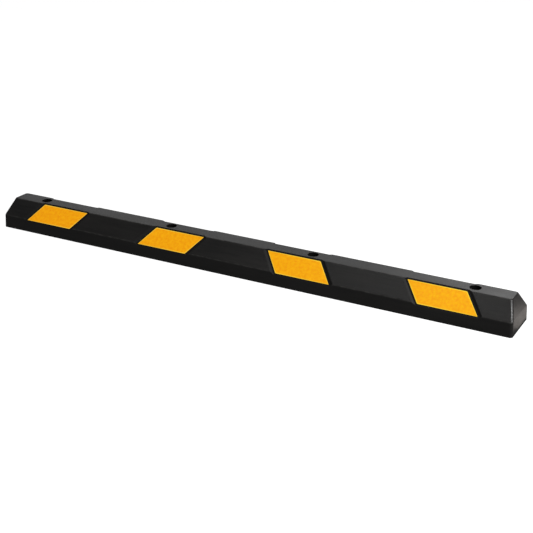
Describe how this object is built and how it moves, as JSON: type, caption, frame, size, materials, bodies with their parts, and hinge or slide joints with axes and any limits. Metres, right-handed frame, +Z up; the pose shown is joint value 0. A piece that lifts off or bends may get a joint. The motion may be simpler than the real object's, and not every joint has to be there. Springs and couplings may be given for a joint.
{
  "type": "parking wheel stop",
  "caption": "Long black rubber parking wheel stop with sloped sides, slanted yellow reflective panels in shallow recesses and countersunk anchor holes along the flat top.",
  "frame": {"origin": "on the ground, at the middle of the footprint", "axes": "+X along the stop, +Y across it towards the rear side, +Z up from the ground"},
  "size_m": [1.83, 0.15, 0.097],
  "materials": {
    "rubber": "moulded black recycled rubber, dull satin with a faint crumb grain",
    "reflective_sheeting": "yellow-orange retroreflective sheeting with a fine cell pattern and sealed edges",
    "zinc_plated_steel": "zinc-plated steel, slightly dull"
  },
  "bodies": {
    "root": {"rubber_body": "rubber", "front_reflector_1": "reflective_sheeting", "front_reflector_2": "reflective_sheeting", "front_reflector_3": "reflective_sheeting", "front_reflector_4": "reflective_sheeting", "rear_reflector_1": "reflective_sheeting", "rear_reflector_2": "reflective_sheeting", "rear_reflector_3": "reflective_sheeting", "rear_reflector_4": "reflective_sheeting", "anchor_washer_1": "zinc_plated_steel", "anchor_washer_2": "zinc_plated_steel", "anchor_washer_3": "zinc_plated_steel", "anchor_washer_4": "zinc_plated_steel"}
  },
  "joints": []
}
